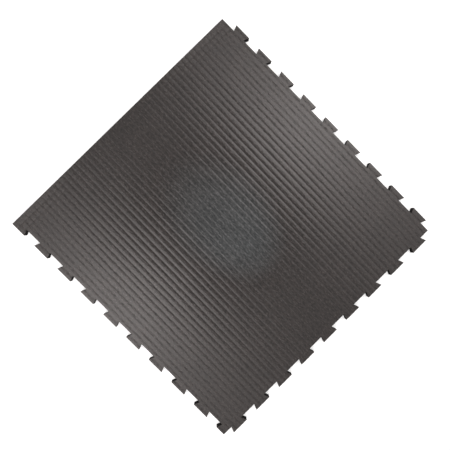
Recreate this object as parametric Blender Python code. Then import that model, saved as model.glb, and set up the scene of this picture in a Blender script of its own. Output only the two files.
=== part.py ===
"""Puzzle mat: one ribbed rubber floor tile with dovetail teeth on three sides.

Units are metres and +Z is up. The origin is the middle of the underside.
+X runs along the ribs, from the plain edge towards the side whose teeth point along X.
"""
import bmesh
import bpy
from mathutils import Matrix

# Plan of the mat
PLAIN_EDGE_X = -0.520
ROOT_X = 0.500
ROOT_Y = 0.490
THICKNESS = 0.020

# Dovetail teeth, wider at the tip than at the root
TOOTH_PITCH = 0.110
TOOTH_DEPTH = 0.020
TIP_WIDTH = 0.0625
ROOT_WIDTH = 0.0465

# Teeth along each toothed side, and where the first ones stand
TEETH_PER_SIDE = 9
FIRST_PLUS_Y_TOOTH = -0.440
FIRST_PLUS_X_TOOTH = -0.450
MINUS_Y_CORNER_TOOTH = -0.495

# Ribs on the upper face, alternately a little wider and narrower
RIB_PITCH = 0.020
GROOVE_COUNT = 51
GROOVE_STAGGER = 0.0005
RIB_SKEW = -0.0095
CUTTER_LENGTH = 1.2
CUTTER_HEAD = 0.004

# One side of a groove: distance from its middle, and depth below the crests
GROOVE_SIDE = (
    (0.0089, -0.00011),
    (0.0050, 0.00028),
    (0.0030, 0.00060),
    (0.0016, 0.00095),
    (0.0007, 0.00190),
)

# Satin dark grey rubber
RUBBER_COLOUR = (0.028, 0.026, 0.025, 1.0)
RUBBER_ROUGHNESS = 0.5


def clear_scene():
    """Remove whatever the scene starts with."""
    for item in list(bpy.data.objects):
        bpy.data.objects.remove(item, do_unlink=True)


def rubber():
    """The one material of the mat."""
    material = bpy.data.materials.new("vulcanised_rubber")
    material.use_nodes = True
    shader = material.node_tree.nodes["Principled BSDF"]
    shader.inputs["Base Color"].default_value = RUBBER_COLOUR
    shader.inputs["Roughness"].default_value = RUBBER_ROUGHNESS
    shader.inputs["Metallic"].default_value = 0.0
    return material


def tooth(centre):
    """A whole tooth as four (distance along, distance out) corners."""
    return [
        (centre - ROOT_WIDTH / 2, 0.0),
        (centre - TIP_WIDTH / 2, TOOTH_DEPTH),
        (centre + TIP_WIDTH / 2, TOOTH_DEPTH),
        (centre + ROOT_WIDTH / 2, 0.0),
    ]


def row_of_teeth(first, count):
    """Whole teeth, one pitch apart, starting at a centre."""
    corners = []
    for index in range(count):
        corners += tooth(first + index * TOOTH_PITCH)
    return corners


def minus_y_side():
    """Whole teeth between two that the neighbouring sides cut off."""
    last = MINUS_Y_CORNER_TOOTH + TEETH_PER_SIDE * TOOTH_PITCH
    first_cut = [(PLAIN_EDGE_X, TOOTH_DEPTH)] + tooth(MINUS_Y_CORNER_TOOTH)[2:]
    last_cut = tooth(last)[:2] + [(ROOT_X, TOOTH_DEPTH)]
    whole = row_of_teeth(MINUS_Y_CORNER_TOOTH + TOOTH_PITCH, TEETH_PER_SIDE - 1)
    return [(x, -ROOT_Y - out) for x, out in first_cut + whole + last_cut]


def plus_x_side():
    """The teeth that point along +X."""
    corners = row_of_teeth(FIRST_PLUS_X_TOOTH, TEETH_PER_SIDE)
    return [(ROOT_X + out, y) for y, out in corners]


def plus_y_side():
    """The teeth that point along +Y, walked back towards the plain edge."""
    corners = row_of_teeth(FIRST_PLUS_Y_TOOTH, TEETH_PER_SIDE)
    return [(x, ROOT_Y + out) for x, out in reversed(corners)]


def outline():
    """The mat seen from above, counter-clockwise."""
    toothed_corner = [(ROOT_X, ROOT_Y)]
    plain_corner = [(PLAIN_EDGE_X, ROOT_Y)]
    return minus_y_side() + plus_x_side() + toothed_corner + plus_y_side() + plain_corner


def mesh_object(name, shape):
    """Turn a bmesh into an object in the scene."""
    bmesh.ops.recalc_face_normals(shape, faces=shape.faces)
    mesh = bpy.data.meshes.new(name)
    shape.to_mesh(mesh)
    shape.free()
    item = bpy.data.objects.new(name, mesh)
    bpy.context.collection.objects.link(item)
    return item


def extrude(shape, points, step):
    """Add a closed prism: a flat polygon pushed along a vector."""
    face = shape.faces.new([shape.verts.new(point) for point in points])
    pushed = bmesh.ops.extrude_face_region(shape, geom=[face])["geom"]
    moved = [part for part in pushed if isinstance(part, bmesh.types.BMVert)]
    bmesh.ops.translate(shape, verts=moved, vec=step)


def slab():
    """The sheet of rubber cut to the outline."""
    shape = bmesh.new()
    points = [(x, y, 0.0) for x, y in outline()]
    extrude(shape, points, (0.0, 0.0, THICKNESS))
    return mesh_object("mat", shape)


def groove_section(middle):
    """The YZ section of one groove, open above the crests."""
    half_width = GROOVE_SIDE[0][0]
    left = [(middle - side, THICKNESS - depth) for side, depth in GROOVE_SIDE]
    right = [(middle + side, THICKNESS - depth) for side, depth in reversed(GROOVE_SIDE)]
    head = THICKNESS + CUTTER_HEAD
    return left + right + [(middle + half_width, head), (middle - half_width, head)]


def groove_middle(index):
    """Where a groove runs, counted from the one through the middle of the mat."""
    side = 1 if index % 2 == 0 else -1
    return index * RIB_PITCH + side * GROOVE_STAGGER


def groove_cutter():
    """Every groove between the ribs, turned a little off the outline as on the real mat."""
    shape = bmesh.new()
    start = -CUTTER_LENGTH / 2
    for index in range(-(GROOVE_COUNT // 2), GROOVE_COUNT // 2 + 1):
        middle = groove_middle(index)
        points = [(start, y, z) for y, z in groove_section(middle)]
        extrude(shape, points, (CUTTER_LENGTH, 0.0, 0.0))
    bmesh.ops.rotate(shape, verts=shape.verts, matrix=Matrix.Rotation(RIB_SKEW, 3, "Z"))
    cutter = mesh_object("groove_cutter", shape)
    cutter.display_type = "WIRE"
    cutter.hide_render = True
    return cutter


def build():
    """Make the mat: the slab less its grooves."""
    clear_scene()
    mat = slab()
    mat.data.materials.append(rubber())
    cut = mat.modifiers.new("grooves", "BOOLEAN")
    cut.operation = "DIFFERENCE"
    cut.solver = "EXACT"
    cut.object = groove_cutter()


build()
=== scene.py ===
"""Puzzle mat: the looks of one ribbed rubber floor tile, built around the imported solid.

Laid out as an add-on and run as a script. Sizes are in metres, +Z is up, and +X runs along the
ribs from the straight edge.
"""
import math

import bmesh
import bpy
from mathutils import Matrix, Vector


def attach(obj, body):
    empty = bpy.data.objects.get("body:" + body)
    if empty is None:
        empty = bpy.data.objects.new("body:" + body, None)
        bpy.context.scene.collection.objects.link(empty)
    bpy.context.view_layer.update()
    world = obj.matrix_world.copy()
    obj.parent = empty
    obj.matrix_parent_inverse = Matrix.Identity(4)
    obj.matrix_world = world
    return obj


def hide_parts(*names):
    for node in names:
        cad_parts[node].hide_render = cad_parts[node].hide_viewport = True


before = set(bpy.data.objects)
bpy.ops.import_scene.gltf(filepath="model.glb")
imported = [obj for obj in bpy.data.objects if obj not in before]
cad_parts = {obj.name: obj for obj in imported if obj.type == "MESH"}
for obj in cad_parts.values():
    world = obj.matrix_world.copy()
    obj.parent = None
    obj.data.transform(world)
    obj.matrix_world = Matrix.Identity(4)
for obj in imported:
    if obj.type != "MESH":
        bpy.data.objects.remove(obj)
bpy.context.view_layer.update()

bl_info = {
    "name": "Puzzle mat",
    "version": (1, 0, 0),
    "blender": (4, 5, 0),
    "location": "View3D > Sidebar > Puzzle mat",
    "description": "Builds a ribbed rubber puzzle mat and the plain stage that it lies on",
    "category": "Add Mesh",
}

MM = 0.001


def linear(code):
    """An sRGB hex colour as linear red, green and blue."""
    shades = [int(code[place:place + 2], 16) / 255 for place in (1, 3, 5)]
    return tuple(s / 12.92 if s <= 0.04045 else ((s + 0.055) / 1.055) ** 2.4 for s in shades)


def node(tree, kind, settings=None, inputs=None):
    """Add a node; settings are its properties, inputs are values or sockets to link."""
    made = tree.nodes.new(kind)
    for name, value in (settings or {}).items():
        setattr(made, name, value)
    for name, value in (inputs or {}).items():
        if isinstance(value, bpy.types.NodeSocket):
            tree.links.new(value, made.inputs[name])
        else:
            made.inputs[name].default_value = value
    return made


def add_object(name, data):
    """Put an object for some data into the scene."""
    made = bpy.data.objects.new(name, data)
    bpy.context.collection.objects.link(made)
    return made


class MatSizes(bpy.types.PropertyGroup):
    """The sizes of the mat, its teeth and its ribs."""

    plain_edge: bpy.props.FloatProperty(
        name="Straight edge", description="Where the straight edge lies along X",
        default=-0.520, unit="LENGTH")
    root_x: bpy.props.FloatProperty(
        name="Root line X", description="Where the teeth that point along X start",
        default=0.500, unit="LENGTH")
    root_y: bpy.props.FloatProperty(
        name="Root line Y", description="Where the teeth that point along Y start, either side",
        default=0.490, unit="LENGTH")
    thickness: bpy.props.FloatProperty(
        name="Thickness", description="From the floor to the rib crests",
        default=0.020, unit="LENGTH")
    tooth_pitch: bpy.props.FloatProperty(
        name="Tooth pitch", description="Middle to middle of neighbouring teeth",
        default=0.110, unit="LENGTH")
    tooth_depth: bpy.props.FloatProperty(
        name="Tooth depth", description="From the root line to the tip",
        default=0.020, unit="LENGTH")
    tip_width: bpy.props.FloatProperty(
        name="Tip width", description="Width of a tooth at its tip",
        default=0.0625, unit="LENGTH")
    root_width: bpy.props.FloatProperty(
        name="Root width", description="Width of a tooth at its root",
        default=0.0465, unit="LENGTH")
    teeth: bpy.props.IntProperty(
        name="Teeth", description="Whole teeth on each of the two full sides", default=9, min=1)
    first_plus_y: bpy.props.FloatProperty(
        name="First +Y tooth", description="X of the first tooth that points along +Y",
        default=-0.440, unit="LENGTH")
    first_plus_x: bpy.props.FloatProperty(
        name="First +X tooth", description="Y of the first tooth that points along +X",
        default=-0.450, unit="LENGTH")
    corner_tooth: bpy.props.FloatProperty(
        name="Corner tooth", description="X of the cut tooth beside the straight edge",
        default=-0.495, unit="LENGTH")
    rib_pitch: bpy.props.FloatProperty(
        name="Rib pitch", description="Crest to crest across the ribs",
        default=0.020, unit="LENGTH")
    rib_stagger: bpy.props.FloatProperty(
        name="Rib stagger",
        description="How far the grooves are shifted, one way and the other by turns",
        default=0.0005, unit="LENGTH")
    ribs: bpy.props.IntProperty(
        name="Ribs", description="How many ribs the field has, an even number", default=52, min=2)
    groove_depth: bpy.props.FloatProperty(
        name="Groove depth", description="From a crest to the bottom of a groove",
        default=0.00114, unit="LENGTH")
    rib_skew: bpy.props.FloatProperty(
        name="Rib skew", description="How far the ribs are turned off the outline",
        default=-0.0095, subtype="ANGLE")
    line_depth: bpy.props.FloatProperty(
        name="Line depth", description="Depth of the two shallow lines beside the straight edge",
        default=0.0004, unit="LENGTH")


class RubberLook(bpy.types.PropertyGroup):
    """The colours and finish of the rubber."""

    face: bpy.props.FloatVectorProperty(
        name="Face", description="Pressed face of the rubber",
        subtype="COLOR", size=3, min=0, max=1, default=linear("#272423"))
    dust: bpy.props.FloatVectorProperty(
        name="Dust", description="Bloom and dust on the crests",
        subtype="COLOR", size=3, min=0, max=1, default=linear("#423C3A"))
    # Darker than the face: partly painted shade for the upright cut walls
    cut: bpy.props.FloatVectorProperty(
        name="Cut edge", description="Cut edge of the rubber",
        subtype="COLOR", size=3, min=0, max=1, default=linear("#1A1817"))
    roughness: bpy.props.FloatProperty(
        name="Roughness", description="Roughness of the pressed face",
        default=0.17, min=0, max=1, subtype="FACTOR")


class StageLook(bpy.types.PropertyGroup):
    """The floor, the soft lights and the camera."""

    floor: bpy.props.FloatVectorProperty(
        name="Floor", description="Colour of the plain floor",
        subtype="COLOR", size=3, min=0, max=1, default=linear("#F4F4F4"))
    floor_glow: bpy.props.FloatProperty(
        name="Floor glow", description="How strongly the floor shines by itself",
        default=0.5, min=0)
    air: bpy.props.FloatProperty(
        name="Air", description="Strength of the even light from all round",
        default=0.345, min=0)
    panel_colour: bpy.props.FloatVectorProperty(
        name="Panel colour", description="Colour of the soft panels",
        subtype="COLOR", size=3, min=0, max=1, default=linear("#FFF9F7"))
    spot_colour: bpy.props.FloatVectorProperty(
        name="Spot colour", description="Colour of the soft spot on the middle of the mat",
        subtype="COLOR", size=3, min=0, max=1, default=linear("#C4F0FF"))
    side_power: bpy.props.FloatProperty(
        name="Side light", description="Power of each soft panel over a toothed side",
        default=19.0, min=0, unit="POWER")
    end_power: bpy.props.FloatProperty(
        name="End light", description="Power of each soft panel over an end of the ribs",
        default=1.7, min=0, unit="POWER")
    spot_power: bpy.props.FloatProperty(
        name="Spot light", description="Power of the soft spot on the middle of the mat",
        default=185.0, min=0, unit="POWER")
    camera_place: bpy.props.FloatVectorProperty(
        name="Camera", description="Where the camera is", subtype="TRANSLATION", size=3,
        default=(-0.0344, -0.0179, 1.2165))
    camera_turn: bpy.props.FloatVectorProperty(
        name="Camera turn", description="Which way the camera looks", subtype="EULER", size=3,
        default=tuple(math.radians(a) for a in (-0.2132, -1.4043, 45.3537)))
    lens: bpy.props.FloatProperty(
        name="Lens", description="Focal length in millimetres on a 36 mm sensor",
        default=27.87, min=1)


# Outline

def tooth(sizes, centre):
    """A whole tooth as four (distance along, distance out) corners."""
    return [
        (centre - sizes.root_width / 2, 0.0),
        (centre - sizes.tip_width / 2, sizes.tooth_depth),
        (centre + sizes.tip_width / 2, sizes.tooth_depth),
        (centre + sizes.root_width / 2, 0.0),
    ]


def row_of_teeth(sizes, first, count):
    """Whole teeth, one pitch apart."""
    return [corner for index in range(count)
            for corner in tooth(sizes, first + index * sizes.tooth_pitch)]


def outline(sizes):
    """The mat seen from above, counter-clockwise."""
    start = sizes.corner_tooth
    end = start + sizes.teeth * sizes.tooth_pitch
    low = [(sizes.plain_edge, sizes.tooth_depth)] + tooth(sizes, start)[2:]
    low += row_of_teeth(sizes, start + sizes.tooth_pitch, sizes.teeth - 1)
    low += tooth(sizes, end)[:2] + [(sizes.root_x, sizes.tooth_depth)]
    right = row_of_teeth(sizes, sizes.first_plus_x, sizes.teeth)
    high = row_of_teeth(sizes, sizes.first_plus_y, sizes.teeth)
    points = [(x, -sizes.root_y - out) for x, out in low]
    points += [(sizes.root_x + out, y) for y, out in right]
    points += [(sizes.root_x, sizes.root_y)]
    points += [(x, sizes.root_y + out) for x, out in reversed(high)]
    return points + [(sizes.plain_edge, sizes.root_y)]


def slab(name, sizes):
    """The sheet of rubber cut to the outline, before its ribs."""
    shape = bmesh.new()
    face = shape.faces.new([shape.verts.new((x, y, 0.0)) for x, y in outline(sizes)])
    pushed = bmesh.ops.extrude_face_region(shape, geom=[face])["geom"]
    moved = [part for part in pushed if isinstance(part, bmesh.types.BMVert)]
    bmesh.ops.translate(shape, verts=moved, vec=(0.0, 0.0, sizes.thickness))
    bmesh.ops.recalc_face_normals(shape, faces=shape.faces)
    mesh = bpy.data.meshes.new(name)
    shape.to_mesh(mesh)
    shape.free()
    return add_object(name, mesh)


# Rib section: distance from the middle of a groove as a share of half a pitch, and depth as a
# share of the groove's. A narrow sharp groove between low bars whose sides level out to a crest.
RIB_SECTION = (
    (0, 1), (0.05, 0.845), (0.1, 0.693), (0.2, 0.554), (0.35, 0.374),
    (0.5, 0.227), (0.7, 0.086), (0.85, 0.023), (1, 0),
)
ROWS_PER_RIB = 20

# The strip beside the straight edge: distance into the mat as a share of its width, and depth
# as a share of a line's. Each line sinks gently and comes up steeply.
STRIP_WIDTH = 60 * MM
STRIP_SECTION = (
    (0.0, 0.0), (0.14, 0.0), (0.29, 0.28), (0.375, 1.0), (0.43, 0.10), (0.48, 0.0),
    (0.64, 0.28), (0.725, 1.0), (0.78, 0.10), (0.83, 0.0), (1.0, 0.0),
)

# The rib field reaches past the mat at both ends. About half of its columns lie across the
# strip, and the others over the rest of its length.
FIELD_OVERLAP = 8 * MM
FIELD_COLUMNS = 80
STRIP_SHARE = 0.55
FIELD_REST = 1.06
WELD_DISTANCE = 0.01 * MM

# The ribs start at the straight edge with this share of their depth
EDGE_FADE = 0.5
EDGE_FADE_WIDTH = 24 * MM

# The slow unevenness of a sheet of rubber
WAVE_HEIGHT = 0.12 * MM
WAVE_SIZE = 90 * MM

# A face is a cut edge where its normal rises less than this. Edges sharper than the angle stay
# crisp, and a mat with fewer faces has no ribs.
WALL_RISE = 0.1
SHARP_ANGLE = math.radians(40)
FEWEST_FACES = 10000


def add_sockets(tree, sizes):
    """Name what the rib tree takes and gives."""
    sockets = tree.interface
    sockets.new_socket("Geometry", in_out="INPUT", socket_type="NodeSocketGeometry")
    for name, default in (
            ("Rib Pitch", sizes.rib_pitch), ("Rib Stagger", sizes.rib_stagger),
            ("Groove Depth", sizes.groove_depth), ("Rib Skew", sizes.rib_skew),
            ("Line Depth", sizes.line_depth), ("Straight Edge", sizes.plain_edge),
            ("Thickness", sizes.thickness), ("Wave Height", WAVE_HEIGHT)):
        socket = sockets.new_socket(name, in_out="INPUT", socket_type="NodeSocketFloat")
        socket.default_value = default
    socket = sockets.new_socket("Ribs", in_out="INPUT", socket_type="NodeSocketInt")
    socket.default_value = sizes.ribs
    for name in ("Pressed Face", "Cut Edge"):
        sockets.new_socket(name, in_out="INPUT", socket_type="NodeSocketMaterial")
    sockets.new_socket("Geometry", in_out="OUTPUT", socket_type="NodeSocketGeometry")


def cut_from_slab(tree, given, pressed):
    """Thicken the pressed field upwards into a closed block, and cut that from the slab."""
    up = node(tree, "ShaderNodeCombineXYZ", None, {"Z": given["Thickness"]})
    head = node(tree, "GeometryNodeExtrudeMesh", {"mode": "FACES"}, {
        "Mesh": pressed, "Offset": up.outputs[0], "Individual": False})
    under = node(tree, "GeometryNodeFlipFaces", None, {"Mesh": pressed})
    both = node(tree, "GeometryNodeJoinGeometry")
    tree.links.new(head.outputs["Mesh"], both.inputs[0])
    tree.links.new(under.outputs[0], both.inputs[0])
    closed = node(tree, "GeometryNodeMergeByDistance", None,
                  {"Geometry": both.outputs[0], "Distance": WELD_DISTANCE})
    cut = node(tree, "GeometryNodeMeshBoolean", {"operation": "DIFFERENCE", "solver": "MANIFOLD"})
    tree.links.new(given["Geometry"], cut.inputs["Mesh 1"])
    tree.links.new(closed.outputs[0], cut.inputs["Mesh 2"])
    return cut.outputs["Mesh"]


def give_materials(tree, given, mesh):
    """Give upright faces the look of a cut edge with its painted shade, and all others that of
    the pressed face.
    """
    whole = node(tree, "GeometryNodeRealizeInstances", None, {"Geometry": mesh})
    faced = node(tree, "GeometryNodeSetMaterial", None,
                 {"Geometry": whole.outputs[0], "Material": given["Pressed Face"]})
    normal = node(tree, "GeometryNodeInputNormal")
    tilt = node(tree, "ShaderNodeSeparateXYZ", None, {0: normal.outputs[0]})
    upright = node(tree, "ShaderNodeMath", {"operation": "ABSOLUTE"}, {0: tilt.outputs["Z"]})
    wall = node(tree, "FunctionNodeCompare", {"data_type": "FLOAT", "operation": "LESS_THAN"},
                {0: upright.outputs[0], 1: WALL_RISE})
    edged = node(tree, "GeometryNodeSetMaterial", None, {
        "Geometry": faced.outputs[0], "Selection": wall.outputs[0],
        "Material": given["Cut Edge"]})
    return edged.outputs[0]


def rib_tree(sizes):
    """Geometry Nodes that press the rib field into the slab."""
    tree = bpy.data.node_groups.new("pressed_ribs", "GeometryNodeTree")
    add_sockets(tree, sizes)
    given = node(tree, "NodeGroupInput").outputs
    width = node(tree, "ShaderNodeMath", {"operation": "MULTIPLY"},
                 {0: given["Rib Pitch"], 1: given["Ribs"]})
    rows = node(tree, "ShaderNodeMath", {"operation": "MULTIPLY_ADD"},
                {0: given["Ribs"], 1: ROWS_PER_RIB, 2: 1.0})
    field = node(tree, "GeometryNodeMeshGrid", None, {
        "Size X": 1.0, "Size Y": width.outputs[0],
        "Vertices X": FIELD_COLUMNS, "Vertices Y": rows.outputs[0]})
    place = node(tree, "GeometryNodeInputPosition")
    axis = node(tree, "ShaderNodeSeparateXYZ", None, {0: place.outputs[0]})

    # Along the ribs, measured from the straight edge
    strip_end = STRIP_SHARE - 0.5
    strip = node(tree, "ShaderNodeMapRange", None, {
        0: axis.outputs["X"], 1: -0.5, 2: strip_end, 3: -FIELD_OVERLAP, 4: STRIP_WIDTH})
    rest = node(tree, "ShaderNodeMapRange", None, {
        0: axis.outputs["X"], 1: strip_end, 2: 0.5, 3: 0.0, 4: FIELD_REST})
    inward = node(tree, "ShaderNodeMath", {"operation": "ADD"},
                  {0: strip.outputs[0], 1: rest.outputs[0]})
    along = node(tree, "ShaderNodeMath", {"operation": "ADD"},
                 {0: inward.outputs[0], 1: given["Straight Edge"]})

    # Across the ribs, counted in pitches from the groove through the middle
    turns = node(tree, "ShaderNodeMath", {"operation": "DIVIDE"},
                 {0: axis.outputs["Y"], 1: given["Rib Pitch"]})
    half = node(tree, "ShaderNodeMath", {"operation": "PINGPONG"}, {0: turns.outputs[0], 1: 0.5})
    share = node(tree, "ShaderNodeMath", {"operation": "MULTIPLY"}, {0: half.outputs[0], 1: 2.0})
    angle = node(tree, "ShaderNodeMath", {"operation": "MULTIPLY"},
                 {0: turns.outputs[0], 1: math.pi})
    by_turns = node(tree, "ShaderNodeMath", {"operation": "COSINE"}, {0: angle.outputs[0]})
    stagger = node(tree, "ShaderNodeMath", {"operation": "MULTIPLY"},
                   {0: by_turns.outputs[0], 1: given["Rib Stagger"]})
    slant = node(tree, "ShaderNodeMath", {"operation": "TANGENT"}, {0: given["Rib Skew"]})
    aside = node(tree, "ShaderNodeMath", {"operation": "MULTIPLY_ADD"},
                 {0: slant.outputs[0], 1: along.outputs[0], 2: stagger.outputs[0]})

    into_strip = node(tree, "ShaderNodeMath", {"operation": "DIVIDE", "use_clamp": True},
                      {0: inward.outputs[0], 1: STRIP_WIDTH})
    sections = []
    for place_in, points in ((share, RIB_SECTION), (into_strip, STRIP_SECTION)):
        section = node(tree, "ShaderNodeFloatCurve", None, {"Value": place_in.outputs[0]})
        curve = section.mapping.curves[0]
        curve.points[0].location = points[0]
        curve.points[1].location = points[-1]
        for point in points[1:-1]:
            curve.points.new(*point)
        for point in curve.points:
            point.handle_type = "AUTO_CLAMPED"
        section.mapping.update()
        sections.append(section)
    rib, line = sections
    fade = node(tree, "ShaderNodeMapRange", None, {
        0: inward.outputs[0], 1: 0.0, 2: EDGE_FADE_WIDTH, 3: EDGE_FADE, 4: 1.0})
    faded = node(tree, "ShaderNodeMath", {"operation": "MULTIPLY"},
                 {0: fade.outputs[0], 1: given["Groove Depth"]})
    wave = node(tree, "ShaderNodeTexNoise", {"noise_dimensions": "3D"},
                {"Scale": 1 / WAVE_SIZE, "Detail": 1.0})
    sink = node(tree, "ShaderNodeMath", {"operation": "MULTIPLY"},
                {0: wave.outputs[0], 1: given["Wave Height"]})
    grooved = node(tree, "ShaderNodeMath", {"operation": "MULTIPLY_ADD"},
                   {0: rib.outputs[0], 1: faded.outputs[0], 2: sink.outputs[0]})
    down = node(tree, "ShaderNodeMath", {"operation": "MULTIPLY_ADD"},
                {0: line.outputs[0], 1: given["Line Depth"], 2: grooved.outputs[0]})
    height = node(tree, "ShaderNodeMath", {"operation": "SUBTRACT"},
                  {0: given["Thickness"], 1: down.outputs[0]})
    across = node(tree, "ShaderNodeMath", {"operation": "ADD"},
                  {0: axis.outputs["Y"], 1: aside.outputs[0]})
    target = node(tree, "ShaderNodeCombineXYZ", None, {
        "X": along.outputs[0], "Y": across.outputs[0], "Z": height.outputs[0]})
    pressed = node(tree, "GeometryNodeSetPosition", None,
                   {"Geometry": field.outputs["Mesh"], "Position": target.outputs[0]})

    ribbed = cut_from_slab(tree, given, pressed.outputs[0])
    node(tree, "NodeGroupOutput", None, {0: give_materials(tree, given, ribbed)})
    return tree


# Sizes of the patterns in the rubber. The real grain is finer, and is drawn as coarse as it
# needs to be to show where a pixel covers a few millimetres of the mat.
CLOUD_SIZE = 60 * MM
CLOUD_CAST = 0.1
FLECK_LENGTH = 9 * MM
FLECK_WIDTH = 4 * MM
FLECK_HEIGHT = 0.7 * MM
FLECK_ROUGHNESS = 0.13
GRAIN_SIZE = 1.6 * MM
GRAIN_HEIGHT = 0.1 * MM
CUT_LINE_WIDTH = 0.8 * MM
CUT_LINE_LENGTH = 12 * MM
CUT_LINE_HEIGHT = 0.1 * MM
CUT_LINE_SHADE = 0.6

# Nearly all values of a noise lie between these two
NOISE_LOW = 0.3
NOISE_HIGH = 0.7

RUBBER_IOR = 1.52
CUT_ROUGHNESS = 0.9
CUT_SPECULAR = 0.1


def start_material(name):
    """An empty material with its shader and output."""
    made = bpy.data.materials.new(name)
    made.use_nodes = True
    made.node_tree.nodes.clear()
    shader = node(made.node_tree, "ShaderNodeBsdfPrincipled")
    node(made.node_tree, "ShaderNodeOutputMaterial", None, {0: shader.outputs[0]})
    return made, made.node_tree, shader


def pressed_rubber(look):
    """Vulcanised rubber pressed against a fine matt tool: a satin face that turns light grey
    where it mirrors a lamp, with a bloom of dust that keeps it from looking black."""
    made, tree, shader = start_material("vulcanised_rubber_pressed")
    where = node(tree, "ShaderNodeTexCoord").outputs["Object"]
    cloud = node(tree, "ShaderNodeTexNoise", None,
                 {"Vector": where, "Scale": 1 / CLOUD_SIZE, "Detail": 4.0, "Roughness": 0.6})
    stretch = node(tree, "ShaderNodeMapping", None, {
        "Vector": where, "Scale": (1 / FLECK_LENGTH, 1 / FLECK_WIDTH, 1 / FLECK_LENGTH)})
    fleck = node(tree, "ShaderNodeTexNoise", None,
                 {"Vector": stretch.outputs[0], "Scale": 1.0, "Detail": 2.0})
    cast = node(tree, "ShaderNodeMapRange", None, {
        0: cloud.outputs[0], 1: NOISE_LOW, 2: NOISE_HIGH, 3: 1 - CLOUD_CAST, 4: 1 + CLOUD_CAST})
    blend = node(tree, "ShaderNodeMath", {"operation": "MULTIPLY"},
                 {0: cast.outputs[0], 1: fleck.outputs[0]})
    amount = node(tree, "ShaderNodeMapRange", None,
                  {0: blend.outputs[0], 1: NOISE_LOW, 2: NOISE_HIGH, 3: 0.0, 4: 1.0})
    colour = node(tree, "ShaderNodeMix", {"data_type": "RGBA"}, {
        0: amount.outputs[0], 6: (*look.face, 1.0), 7: (*look.dust, 1.0)})
    rough = node(tree, "ShaderNodeMapRange", None, {
        0: fleck.outputs[0], 1: NOISE_LOW, 2: NOISE_HIGH,
        3: look.roughness - FLECK_ROUGHNESS, 4: look.roughness + FLECK_ROUGHNESS})
    grain = node(tree, "ShaderNodeTexNoise", None,
                 {"Vector": where, "Scale": 1 / GRAIN_SIZE, "Detail": 3.0})
    fine = node(tree, "ShaderNodeBump", None,
                {"Height": grain.outputs[0], "Distance": GRAIN_HEIGHT, "Strength": 1.0})
    beads = node(tree, "ShaderNodeBump", None, {
        "Height": fleck.outputs[0], "Distance": FLECK_HEIGHT, "Strength": 1.0,
        "Normal": fine.outputs[0]})
    for name, socket in (("Base Color", colour.outputs[2]), ("Roughness", rough.outputs[0]),
                         ("Normal", beads.outputs[0])):
        tree.links.new(socket, shader.inputs[name])
    shader.inputs["IOR"].default_value = RUBBER_IOR
    return made


def shaded_cut_rubber(look):
    """The same rubber where the sheet was cut through: quite matt and nearly black, with fine
    upright lines left by the cut. The near black is partly painted shade for the shaded walls."""
    made, tree, shader = start_material("vulcanised_rubber_cut_painted_shade")
    where = node(tree, "ShaderNodeTexCoord").outputs["Object"]
    stretch = node(tree, "ShaderNodeMapping", None, {
        "Vector": where, "Scale": (1 / CUT_LINE_WIDTH, 1 / CUT_LINE_WIDTH, 1 / CUT_LINE_LENGTH)})
    lines = node(tree, "ShaderNodeTexNoise", None,
                 {"Vector": stretch.outputs[0], "Scale": 1.0, "Detail": 2.0})
    # Painted shade: the cut colour is darker than the pressed face, and the lines darker still
    dark = [shade * CUT_LINE_SHADE for shade in look.cut]
    colour = node(tree, "ShaderNodeMix", {"data_type": "RGBA"}, {
        0: lines.outputs[0], 6: (*dark, 1.0), 7: (*look.cut, 1.0)})
    bump = node(tree, "ShaderNodeBump", None,
                {"Height": lines.outputs[0], "Distance": CUT_LINE_HEIGHT, "Strength": 1.0})
    tree.links.new(colour.outputs[2], shader.inputs["Base Color"])
    tree.links.new(bump.outputs[0], shader.inputs["Normal"])
    shader.inputs["Roughness"].default_value = CUT_ROUGHNESS
    shader.inputs["Specular IOR Level"].default_value = CUT_SPECULAR
    return made


class PUZZLEMAT_OT_mat(bpy.types.Operator):
    """Build the ribbed rubber mat"""

    bl_idname = "puzzlemat.build_mat"
    bl_label = "Build mat"

    def execute(self, context):
        sizes = context.scene.puzzlemat_sizes
        look = context.scene.puzzlemat_rubber
        rough = slab("rough_mat", sizes)
        tree = rib_tree(sizes)
        ribs = rough.modifiers.new("ribs", "NODES")
        ribs.node_group = tree
        values = {
            "Rib Pitch": sizes.rib_pitch, "Rib Stagger": sizes.rib_stagger,
            "Groove Depth": sizes.groove_depth, "Rib Skew": sizes.rib_skew,
            "Line Depth": sizes.line_depth, "Straight Edge": sizes.plain_edge,
            "Thickness": sizes.thickness, "Wave Height": WAVE_HEIGHT, "Ribs": sizes.ribs,
            "Pressed Face": pressed_rubber(look), "Cut Edge": shaded_cut_rubber(look)}
        for item in tree.interface.items_tree:
            if item.in_out == "INPUT" and item.name in values:
                ribs[item.identifier] = values[item.name]
        graph = context.evaluated_depsgraph_get()
        mesh = bpy.data.meshes.new_from_object(rough.evaluated_get(graph), depsgraph=graph)
        if len(mesh.polygons) < FEWEST_FACES:
            raise RuntimeError("the ribs were not pressed into the mat")
        if mesh.materials[0] is None:
            mesh.materials.pop(index=0)
        bpy.data.objects.remove(rough, do_unlink=True)
        mesh.shade_smooth()
        mesh.set_sharp_from_angle(angle=SHARP_ANGLE)
        piece = add_object("ribbed_mat", mesh)
        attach(piece, "root")
        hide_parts("mat")
        return {"FINISHED"}


# The soft panels hang level round the mat: how far their inner and outer edges are from its
# middle, and their height and width. Those over the ends of the ribs hang a little higher, so
# that no two lie in one plane, and the one over the +Y side hangs a little farther out.
PANEL_INNER = 0.32
PANEL_OUTER = 1.30
PANEL_HEIGHT = 1.05
PANEL_LIFT = 0.03
PANEL_SHIFT = 0.03
PANEL_WIDTH = 2.4
PANEL_MIDDLE = -0.06

# Their glow along that width: how far its bright part spreads, and what is left beside it.
# Across, it comes up from the inner edge over this share of their depth.
PANEL_SPREAD = 0.40
PANEL_REST = 0.26
PANEL_RISE = 0.35

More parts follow.
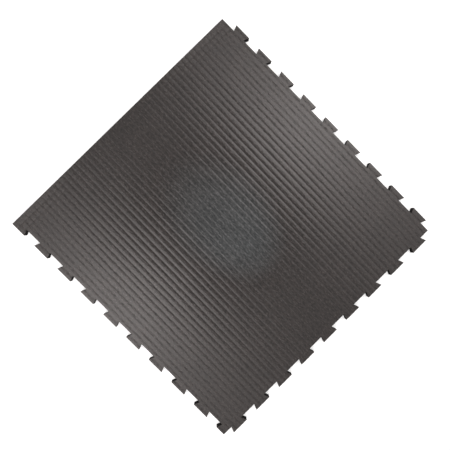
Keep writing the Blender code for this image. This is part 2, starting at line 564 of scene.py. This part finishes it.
# The spot comes in low and along the ribs, so they throw none of its shine to the camera
SPOT_PLACE = (1.30, -0.01, 1.3)
SPOT_TARGET = (-0.01, 0.01, 0.02)
SPOT_CONE = math.radians(12)

# The floor lies just under the mat, so that the two don't share a plane
FLOOR_REACH = 12.0
FLOOR_HEIGHT = -0.5 * MM
FLOOR_ROUGHNESS = 0.9

# In millimetres
SENSOR_WIDTH = 36.0


def soft_panel(name, power, colour, quarters, shift):
    """A large soft panel, dim at its inner edge and brightest along its middle."""
    depth = PANEL_OUTER - PANEL_INNER
    lamp = bpy.data.lights.new(name, "AREA")
    lamp.shape = "RECTANGLE"
    lamp.size = PANEL_WIDTH
    lamp.size_y = depth
    lamp.energy = power
    lamp.color = colour
    lamp.use_nodes = True
    tree = lamp.node_tree
    glow = tree.nodes["Emission"]
    point = node(tree, "ShaderNodeNewGeometry").outputs["Parametric"]
    axis = node(tree, "ShaderNodeSeparateXYZ", None, {0: point})
    off = node(tree, "ShaderNodeMath", {"operation": "MULTIPLY_ADD"},
               {0: axis.outputs["X"], 1: PANEL_WIDTH, 2: -PANEL_WIDTH / 2})
    square = node(tree, "ShaderNodeMath", {"operation": "MULTIPLY"},
                  {0: off.outputs[0], 1: off.outputs[0]})
    fall = node(tree, "ShaderNodeMath", {"operation": "DIVIDE"},
                {0: square.outputs[0], 1: -2 * PANEL_SPREAD ** 2})
    bell = node(tree, "ShaderNodeMath", {"operation": "EXPONENT"}, {0: fall.outputs[0]})
    across = node(tree, "ShaderNodeMath", {"operation": "ADD"},
                  {0: bell.outputs[0], 1: PANEL_REST})
    rise = node(tree, "ShaderNodeMapRange", {"interpolation_type": "SMOOTHSTEP"},
                {0: axis.outputs["Y"], 1: 0.0, 2: PANEL_RISE, 3: 0.0, 4: 1.0})
    strength = node(tree, "ShaderNodeMath", {"operation": "MULTIPLY"},
                    {0: across.outputs[0], 1: rise.outputs[0]})
    tree.links.new(strength.outputs[0], glow.inputs["Strength"])
    light = add_object(name, lamp)
    turn = quarters * math.pi / 2
    height = PANEL_HEIGHT + quarters % 2 * PANEL_LIFT
    place = Vector((0.0, (PANEL_INNER + PANEL_OUTER) / 2 + shift, height))
    light.location = Matrix.Rotation(turn, 3, "Z") @ place + Vector((PANEL_MIDDLE, 0.0, 0.0))
    light.rotation_euler = (0.0, 0.0, turn)
    light.visible_camera = False


def add_floor(look):
    """Seamless paper lit from behind: matt, white and with hardly a shadow."""
    mesh = bpy.data.meshes.new("floor")
    corners = [(x * FLOOR_REACH, y * FLOOR_REACH, FLOOR_HEIGHT)
               for x, y in ((-1, -1), (1, -1), (1, 1), (-1, 1))]
    mesh.from_pydata(corners, [], [(0, 1, 2, 3)])
    floor = add_object("floor", mesh)
    made, _, shader = start_material("floor_paper")
    shader.inputs["Base Color"].default_value = (*look.floor, 1.0)
    shader.inputs["Roughness"].default_value = FLOOR_ROUGHNESS
    shader.inputs["Emission Color"].default_value = (1.0, 1.0, 1.0, 1.0)
    shader.inputs["Emission Strength"].default_value = look.floor_glow
    mesh.materials.append(made)


def add_spot(look):
    """The soft spot on the middle of the mat."""
    lamp = bpy.data.lights.new("light_on_middle", "SPOT")
    lamp.spot_size = SPOT_CONE
    lamp.spot_blend = 1.0
    lamp.energy = look.spot_power
    lamp.color = look.spot_colour
    light = add_object("light_on_middle", lamp)
    light.location = SPOT_PLACE
    back = Vector(SPOT_PLACE) - Vector(SPOT_TARGET)
    light.rotation_euler = back.to_track_quat("Z", "Y").to_euler()


def add_air(scene, look):
    """Even white light from all round."""
    world = bpy.data.worlds.new("studio_air")
    world.use_nodes = True
    air = world.node_tree.nodes["Background"]
    air.inputs["Color"].default_value = (1.0, 1.0, 1.0, 1.0)
    air.inputs["Strength"].default_value = look.air
    scene.world = world
    scene.view_settings.view_transform = "Standard"


def add_camera(scene, look):
    """The camera that took the photo, worked out from the outline of the mat."""
    eye = bpy.data.cameras.new("camera")
    eye.lens = look.lens
    eye.sensor_width = SENSOR_WIDTH
    camera = add_object("camera", eye)
    camera.location = look.camera_place
    camera.rotation_euler = look.camera_turn
    scene.camera = camera


class PUZZLEMAT_OT_stage(bpy.types.Operator):
    """Build the plain floor, the soft lights and the camera"""

    bl_idname = "puzzlemat.build_stage"
    bl_label = "Build stage"

    def execute(self, context):
        look = context.scene.puzzlemat_stage
        add_floor(look)
        for name, power, quarters, shift in (
                ("light_plus_y", look.side_power, 0, PANEL_SHIFT),
                ("light_minus_x", look.end_power, 1, 0.0),
                ("light_minus_y", look.side_power, 2, 0.0),
                ("light_plus_x", look.end_power, 3, 0.0)):
            soft_panel(name, power, look.panel_colour, quarters, shift)
        add_spot(look)
        add_air(context.scene, look)
        add_camera(context.scene, look)
        return {"FINISHED"}


class PUZZLEMAT_PT_panel(bpy.types.Panel):
    """The mat's sizes, looks and build buttons"""

    bl_label = "Puzzle mat"
    bl_idname = "PUZZLEMAT_PT_panel"
    bl_space_type = "VIEW_3D"
    bl_region_type = "UI"
    bl_category = "Puzzle mat"

    def draw(self, context):
        column = self.layout.column()
        for group in ("puzzlemat_sizes", "puzzlemat_rubber", "puzzlemat_stage"):
            values = getattr(context.scene, group)
            for name in values.bl_rna.properties.keys():
                if name not in {"rna_type", "name"}:
                    column.prop(values, name)
        column.operator(PUZZLEMAT_OT_mat.bl_idname)
        column.operator(PUZZLEMAT_OT_stage.bl_idname)


CLASSES = (MatSizes, RubberLook, StageLook, PUZZLEMAT_OT_mat, PUZZLEMAT_OT_stage,
           PUZZLEMAT_PT_panel)


def register():
    for each in CLASSES:
        bpy.utils.register_class(each)
    bpy.types.Scene.puzzlemat_sizes = bpy.props.PointerProperty(type=MatSizes)
    bpy.types.Scene.puzzlemat_rubber = bpy.props.PointerProperty(type=RubberLook)
    bpy.types.Scene.puzzlemat_stage = bpy.props.PointerProperty(type=StageLook)


def unregister():
    del bpy.types.Scene.puzzlemat_stage
    del bpy.types.Scene.puzzlemat_rubber
    del bpy.types.Scene.puzzlemat_sizes
    for each in reversed(CLASSES):
        bpy.utils.unregister_class(each)


def main():
    """Register and build every piece."""
    register()
    bpy.ops.puzzlemat.build_mat()
    bpy.ops.puzzlemat.build_stage()


if __name__ == "__main__":
    main()
